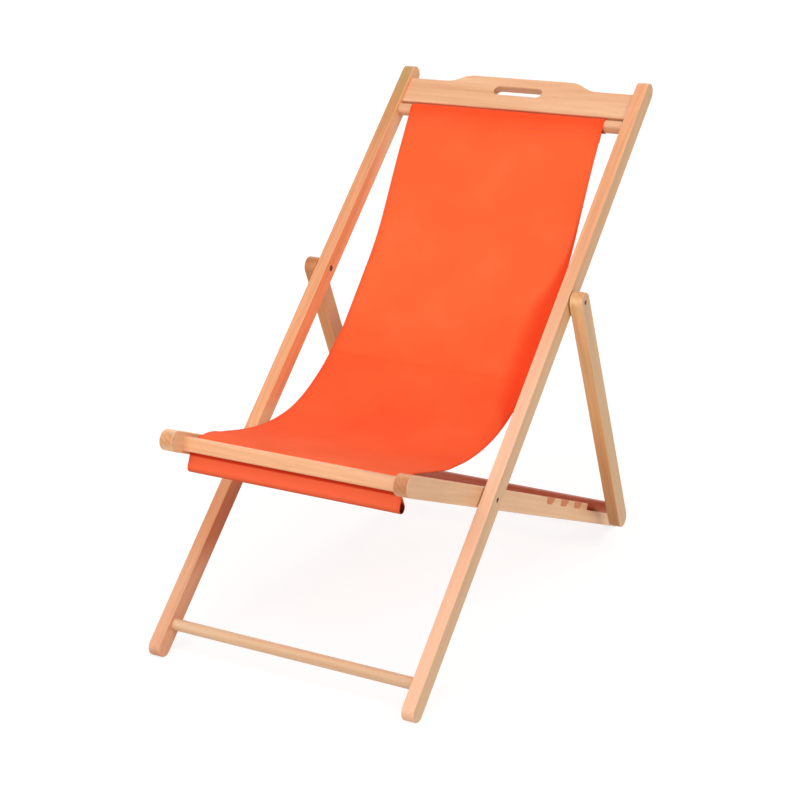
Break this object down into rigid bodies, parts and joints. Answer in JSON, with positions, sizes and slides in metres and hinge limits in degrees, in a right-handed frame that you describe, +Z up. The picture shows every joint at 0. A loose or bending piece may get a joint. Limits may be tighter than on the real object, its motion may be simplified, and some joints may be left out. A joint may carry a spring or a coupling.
{
  "type": "steamer deck chair",
  "caption": "Folding wooden deck chair with a one-piece canvas sling, a crest rail with a hand slot, and a hinged prop that rests in notched seat rails to set the recline.",
  "frame": {"origin": "on the floor, under the middle of the chair's length and width", "axes": "+Z up, the sitter faces -Y, +X to the right as seen from in front"},
  "size_m": [0.594, 0.9988, 0.9235],
  "materials": {
    "frame_wood": "sanded and clear oiled",
    "dowel_wood": "turned, unfinished",
    "canvas": "plain-woven cotton canvas",
    "pivot_steel": "dark zinc plated"
  },
  "bodies": {
    "back_frame": {"crest_rail": "frame_wood", "crest_rail_pins": "dowel_wood", "foot_stretcher": "frame_wood", "prop_pivot_bolt_left": "pivot_steel", "prop_pivot_bolt_right": "pivot_steel", "prop_pivot_nut_left": "pivot_steel", "prop_pivot_nut_right": "pivot_steel", "prop_pivot_washer_left": "pivot_steel", "prop_pivot_washer_right": "pivot_steel", "seat_pivot_bolt_left": "pivot_steel", "seat_pivot_bolt_right": "pivot_steel", "seat_pivot_nut_left": "pivot_steel", "seat_pivot_nut_right": "pivot_steel", "seat_pivot_washer_left": "pivot_steel", "seat_pivot_washer_right": "pivot_steel", "sling": "canvas", "stile_left": "frame_wood", "stile_right": "frame_wood", "stretcher_brads": "pivot_steel", "upper_dowel_brads": "pivot_steel", "upper_sling_dowel": "frame_wood"},
    "seat_frame": {"front_bar": "frame_wood", "front_bar_pins": "dowel_wood", "keeper_bar": "frame_wood", "keeper_bar_pins": "dowel_wood", "rear_bar_brads": "pivot_steel", "rear_cross_bar": "frame_wood", "seat_rail_left": "frame_wood", "seat_rail_right": "frame_wood", "sling_lower_dowel": "dowel_wood"},
    "prop_frame": {"prop_bar": "frame_wood", "prop_bar_brads": "pivot_steel", "prop_strut_left": "frame_wood", "prop_strut_right": "frame_wood"}
  },
  "joints": [
    {"name": "seat_hinge", "type": "hinge", "parent": "back_frame", "child": "seat_frame", "pos_m": [0, -0.18447, 0.29117], "axis": [-1, 0, 0], "range_deg": [0, 109.1], "deforming": ["sling"]},
    {"name": "prop_hinge", "type": "hinge", "parent": "back_frame", "child": "prop_frame", "pos_m": [0, 0.1242, 0.57598], "axis": [1, 0, 0], "range_deg": [0, 109]}
  ]
}
